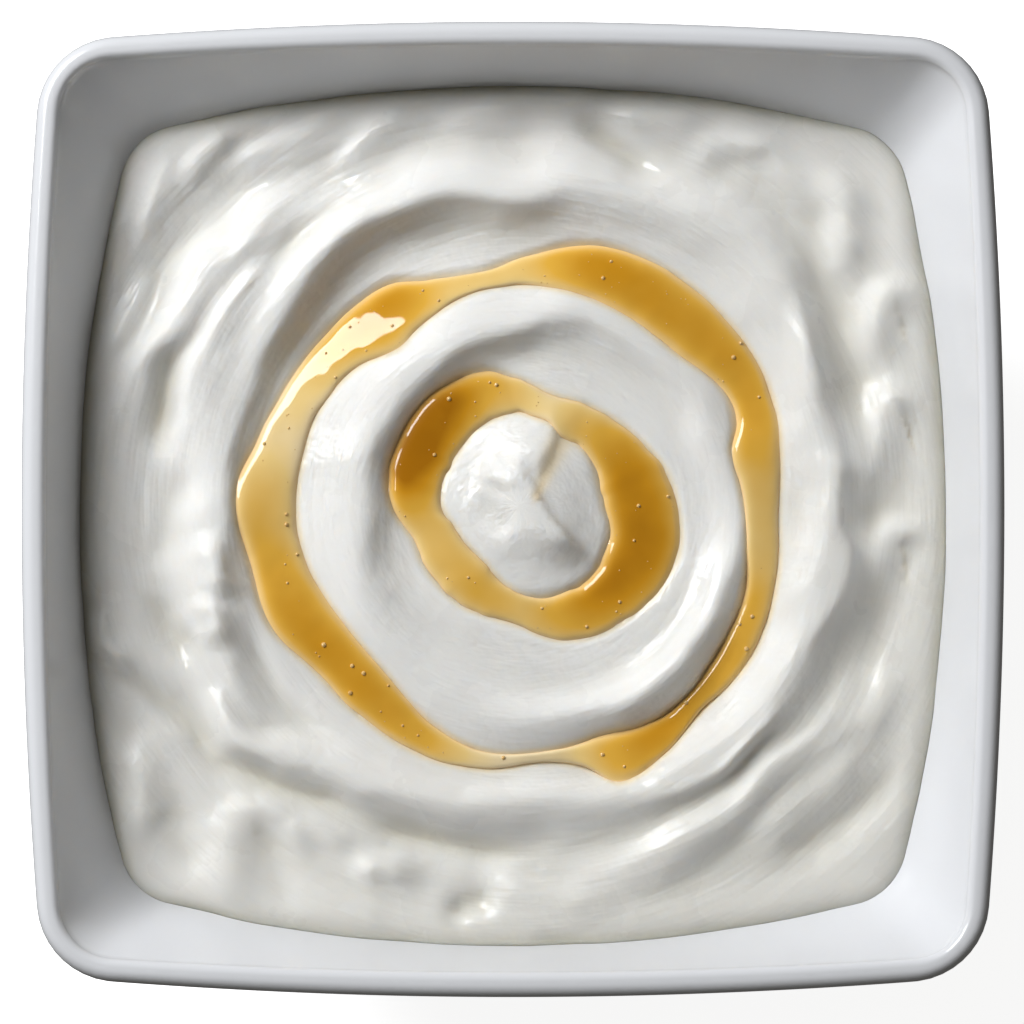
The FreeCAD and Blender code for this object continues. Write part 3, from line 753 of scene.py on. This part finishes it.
def makeHoneyLook():
    material, nodes, links, shader = newMaterial("honey")
    depth = addNode(nodes, "ShaderNodeAttribute", attribute_name="depth")
    cloud = addNoise(nodes, links, scale=160.0, detail=2.0)
    # streaks of thicker and thinner honey
    uneven = addNode(nodes, "ShaderNodeMath", operation="MULTIPLY_ADD")
    links.new(cloud.outputs["Fac"], uneven.inputs[0])
    uneven.inputs[1].default_value = honey["streaks"]
    uneven.inputs[2].default_value = -honey["streaks"] / 2
    total = addNode(nodes, "ShaderNodeMath", operation="ADD")
    links.new(depth.outputs["Fac"], total.inputs[0])
    links.new(uneven.outputs["Value"], total.inputs[1])
    ramp = nodes.new("ShaderNodeValToRGB")
    stops = ramp.color_ramp.elements
    while len(stops) < len(honey["colours"]):
        stops.new(0.5)
    for stop, (position, colour) in zip(stops, honey["colours"]):
        stop.position = position
        stop.color = (*colour, 1)
    links.new(total.outputs["Value"], ramp.inputs["Fac"])
    colour = mixBy(nodes, links, "hem", ramp.outputs["Color"], honey["hem"])
    links.new(colour, shader.inputs["Base Color"])
    ripple = addNoise(nodes, links, scale=210.0, detail=1.0)
    bump = addNode(nodes, "ShaderNodeBump", Strength=0.5, Distance=0.0004)
    links.new(ripple.outputs["Fac"], bump.inputs["Height"])
    links.new(bump.outputs["Normal"], shader.inputs["Normal"])
    shader.inputs["Roughness"].default_value = 0.05
    shader.inputs["IOR"].default_value = 1.49
    return material


def makeHoney(name, rows, node, material):
    count = honey["sections"]
    across = honey["across"]
    angle = np.linspace(0, 360, count, endpoint=False)
    turn = np.radians(angle)
    far, waves = honey["unevenEdge"]
    seed = yogurt["seed"] + 20
    inner, outer = (closedCurve(rows, column, angle)
                    + far * smoothNoise(angle / 360 * waves, angle * 0, seed + column - 1, waves)
                    for column in (1, 2))

    def place(radius):
        return (yogurt["swirl"][0] + radius * np.cos(turn),
                yogurt["swirl"][1] + radius * np.sin(turn))

    span = 21  # sections over which the honey's edges even out the yogurt under them
    lowIn = evenOut(relief(*place(inner)), span)
    lowOut = evenOut(relief(*place(outer)), span)
    full = closedCurve(rows, 3, angle) / honey["fullDepth"]
    lean = closedCurve(rows, 4, angle)
    tops, bottoms, depths, hems = [], [], [], []
    # s goes from -1 at the inner edge to 1 at the outer one
    for s in np.cos(np.linspace(math.pi, 0, across + 1)):
        x, y = place(inner + (outer - inner) * (s + 1) / 2)
        chord = lowIn + (lowOut - lowIn) * (s + 1) / 2
        ground = relief(x, y)
        bulge = max(0.0, 1 - abs(s) ** 3) ** 0.6
        swell = honey["crown"] * bulge
        surface = np.maximum(chord + swell, ground + 0.35 * swell)
        edge = abs(s) ** honey["edgeSharpness"]
        surface = surface * (1 - edge) + (ground - honey["tuck"]) * edge
        tops.append(np.column_stack([x, y, level + surface]))
        bottoms.append(np.column_stack([x, y, level + ground - honey["bed"][1]]))
        depths.append(full * bulge * (1 + 0.7 * lean * s))
        hems.append(np.full(count, abs(s) ** honey["hemSharpness"]))
    points = np.concatenate(tops + bottoms)
    rings = across + 1
    under = rings * count
    top = across * count
    faces = [tuple(reversed(face)) for face in ringFaces(rings, count)]
    faces += ringFaces(rings, count, under)
    for k in range(count):
        after = (k + 1) % count
        faces.append((k, after, under + after, under + k))
        faces.append((top + after, top + k, under + top + k, under + top + after))
    piece = newPiece(name, points, faces, node, material)
    paintPoints(piece, "depth", np.concatenate(depths * 2))
    paintPoints(piece, "hem", np.concatenate(hems * 2))
    return piece


bubbles = {
    "density": 90000,           # for each square metre of honey
    "smallest": 0.08,           # radius
    "largest": 0.34,
    "spread": 3.0,              # the higher, the fewer large ones
    "level": 0.9,               # how level the honey is where they lie, 1 being flat
    "sink": 0.3,                # how far they lie under the surface, for the smallest's radius
    "seeds": (3, 5),            # outer and inner ring
    "colours": ((0.62, 0.30, 0.05), (0.95, 0.72, 0.34)),
}


def makeBubbleLook():
    material, nodes, links, shader = newMaterial("bubbles")
    cloud = addNoise(nodes, links, scale=900.0, detail=2.0)
    tone = nodes.new("ShaderNodeValToRGB")
    for stop, colour in zip(tone.color_ramp.elements, bubbles["colours"]):
        stop.color = (*colour, 1)
    links.new(cloud.outputs["Fac"], tone.inputs["Fac"])
    links.new(tone.outputs["Color"], shader.inputs["Base Color"])
    shader.inputs["Roughness"].default_value = 0.05
    shader.inputs["IOR"].default_value = 1.49
    return material


def bubbleTree(material):
    tree = bpy.data.node_groups.new("bubbles", "GeometryNodeTree")
    sockets = {}
    tree.interface.new_socket("Geometry", in_out="INPUT", socket_type="NodeSocketGeometry")
    for name, kind in (("Density", "NodeSocketFloat"), ("Seed", "NodeSocketInt"),
                       ("Smallest", "NodeSocketFloat"), ("Largest", "NodeSocketFloat"),
                       ("Sink", "NodeSocketFloat")):
        sockets[name] = tree.interface.new_socket(name, in_out="INPUT", socket_type=kind).identifier
    tree.interface.new_socket("Geometry", in_out="OUTPUT", socket_type="NodeSocketGeometry")
    nodes, links = tree.nodes, tree.links
    given = nodes.new("NodeGroupInput")
    result = nodes.new("NodeGroupOutput")
    # only on the honey's top
    normal = nodes.new("GeometryNodeInputNormal")
    apart = nodes.new("ShaderNodeSeparateXYZ")
    links.new(normal.outputs[0], apart.inputs[0])
    upward = nodes.new("FunctionNodeCompare")
    upward.operation = "GREATER_THAN"
    links.new(apart.outputs["Z"], upward.inputs[0])
    upward.inputs[1].default_value = bubbles["level"]
    points = nodes.new("GeometryNodeDistributePointsOnFaces")
    links.new(given.outputs["Geometry"], points.inputs["Mesh"])
    links.new(upward.outputs["Result"], points.inputs["Selection"])
    links.new(given.outputs["Density"], points.inputs["Density"])
    links.new(given.outputs["Seed"], points.inputs["Seed"])
    # most are small: a power of a random share
    share = nodes.new("FunctionNodeRandomValue")
    links.new(given.outputs["Seed"], share.inputs["Seed"])
    power = addNode(nodes, "ShaderNodeMath", operation="POWER")
    links.new(share.outputs[1], power.inputs[0])
    power.inputs[1].default_value = bubbles["spread"]
    size = nodes.new("ShaderNodeMapRange")
    links.new(power.outputs[0], size.inputs["Value"])
    links.new(given.outputs["Smallest"], size.inputs["To Min"])
    links.new(given.outputs["Largest"], size.inputs["To Max"])
    # each lies a little under the surface
    drop = nodes.new("ShaderNodeCombineXYZ")
    links.new(given.outputs["Sink"], drop.inputs["Z"])
    lower = nodes.new("GeometryNodeSetPosition")
    links.new(points.outputs["Points"], lower.inputs["Geometry"])
    links.new(drop.outputs[0], lower.inputs["Offset"])
    ball = nodes.new("GeometryNodeMeshIcoSphere")
    ball.inputs["Radius"].default_value = 1.0
    ball.inputs["Subdivisions"].default_value = 3
    placed = nodes.new("GeometryNodeInstanceOnPoints")
    links.new(lower.outputs["Geometry"], placed.inputs["Points"])
    links.new(ball.outputs["Mesh"], placed.inputs["Instance"])
    links.new(size.outputs["Result"], placed.inputs["Scale"])
    real = nodes.new("GeometryNodeRealizeInstances")
    links.new(placed.outputs["Instances"], real.inputs["Geometry"])
    smooth = nodes.new("GeometryNodeSetShadeSmooth")
    links.new(real.outputs["Geometry"], smooth.inputs["Geometry"])
    finish = nodes.new("GeometryNodeSetMaterial")
    finish.inputs["Material"].default_value = material
    links.new(smooth.outputs["Geometry"], finish.inputs["Geometry"])
    links.new(finish.outputs["Geometry"], result.inputs["Geometry"])
    return tree, sockets


# the bubbles of one honey ring, as a plain mesh
def makeBubbles(name, source, seed, tree, sockets):
    carrier = bpy.data.objects.new(name + "_carrier", source.data.copy())
    scene.collection.objects.link(carrier)
    modifier = carrier.modifiers.new("bubbles", "NODES")
    modifier.node_group = tree
    modifier[sockets["Density"]] = bubbles["density"]
    modifier[sockets["Seed"]] = seed
    modifier[sockets["Smallest"]] = bubbles["smallest"] * mm
    modifier[sockets["Largest"]] = bubbles["largest"] * mm
    modifier[sockets["Sink"]] = -bubbles["sink"] * bubbles["smallest"] * mm
    evaluated = carrier.evaluated_get(bpy.context.evaluated_depsgraph_get())
    mesh = bpy.data.meshes.new_from_object(evaluated)
    bpy.data.objects.remove(carrier)
    piece = bpy.data.objects.new(name, mesh)
    scene.collection.objects.link(piece)
    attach(piece, "root")
    return piece


surroundings = {
    "floorSize": 6.0,
    "floorGap": 0.0002,         # how far the floor lies under the foot
    "floorColour": (0.9, 0.9, 0.9),
    "floorGlow": 0.85,          # makes it plain white
    "roomColour": (1.0, 0.975, 0.90),
    "roomStrength": 0.08,
}

lights = {
    "aim": (0, 0, 0.04),
    "key": {"place": (-0.59, 0.49, 0.70), "size": 0.50, "power": 11.2, "colour": (0.975, 0.988, 1.0)},
    "top": {"place": (0.15, -0.05, 1.3), "size": 1.2, "power": 0.3, "colour": (1.0, 0.97, 0.92)},
}

view = {
    "rise": 0.600,              # the camera's height over the rim, looking straight down
    "place": (0.0, -0.042),     # where it stands over the bowl
    "width": 0.1351,            # how much of the rim's plane it sees
    "middle": (-0.00013, -0.00046),
    "sensor": 36,
}


def makeStage():
    material, nodes, links, shader = newMaterial("floor")
    shader.inputs["Base Color"].default_value = (*surroundings["floorColour"], 1)
    shader.inputs["Roughness"].default_value = 0.9
    shader.inputs["Emission Color"].default_value = (1, 1, 1, 1)
    shader.inputs["Emission Strength"].default_value = surroundings["floorGlow"]
    mesh = bpy.data.meshes.new("floor")
    half = surroundings["floorSize"] / 2
    corners = [(-half, -half, 0), (half, -half, 0), (half, half, 0), (-half, half, 0)]
    mesh.from_pydata(corners, [], [(0, 1, 2, 3)])
    mesh.materials.append(material)
    floor = bpy.data.objects.new("floor", mesh)
    floor.location.z = -surroundings["floorGap"]
    floor.visible_diffuse = False
    floor.visible_glossy = False
    scene.collection.objects.link(floor)


def addLight(name):
    chosen = lights[name]
    data = bpy.data.lights.new(name, "AREA")
    data.shape = "SQUARE"
    data.size = chosen["size"]
    data.energy = chosen["power"]
    data.color = chosen["colour"]
    light = bpy.data.objects.new(name, data)
    light.location = chosen["place"]
    toBowl = Vector(lights["aim"]) - Vector(chosen["place"])
    light.rotation_euler = toBowl.to_track_quat("-Z", "Y").to_euler()
    scene.collection.objects.link(light)
    return light


def makeLight():
    addLight("key")
    addLight("top").visible_glossy = False
    world = bpy.data.worlds.new("room")
    world.use_nodes = True
    room = world.node_tree.nodes["Background"]
    room.inputs["Color"].default_value = (*surroundings["roomColour"], 1)
    room.inputs["Strength"].default_value = surroundings["roomStrength"]
    scene.world = world
    scene.view_settings.view_transform = "Standard"


# looks straight down; its lens is shifted so that the bowl fills the frame
def makeCamera():
    data = bpy.data.cameras.new("camera")
    data.sensor_width = view["sensor"]
    data.lens = view["sensor"] * view["rise"] / view["width"]
    data.shift_x = (view["middle"][0] - view["place"][0]) / view["width"]
    data.shift_y = (view["middle"][1] - view["place"][1]) / view["width"]
    data.clip_end = 20
    camera = bpy.data.objects.new("camera", data)
    camera.location = (*view["place"], rimHeight * mm + view["rise"])
    scene.collection.objects.link(camera)
    scene.camera = camera


makeBowl(makePorcelain())
print("bowl made")
makeYogurt(makeYogurtLook())
print("yogurt made")
honeyLook = makeHoneyLook()
outerPiece = makeHoney("honey_outer", honey["outer"], "honey_outer_ring", honeyLook)
innerPiece = makeHoney("honey_inner", honey["inner"], "honey_inner_ring", honeyLook)
print("honey made")
tree, sockets = bubbleTree(makeBubbleLook())
makeBubbles("bubbles_outer", outerPiece, bubbles["seeds"][0], tree, sockets)
makeBubbles("bubbles_inner", innerPiece, bubbles["seeds"][1], tree, sockets)
print("bubbles made")
makeStage()
makeLight()
makeCamera()
print("light and camera made")
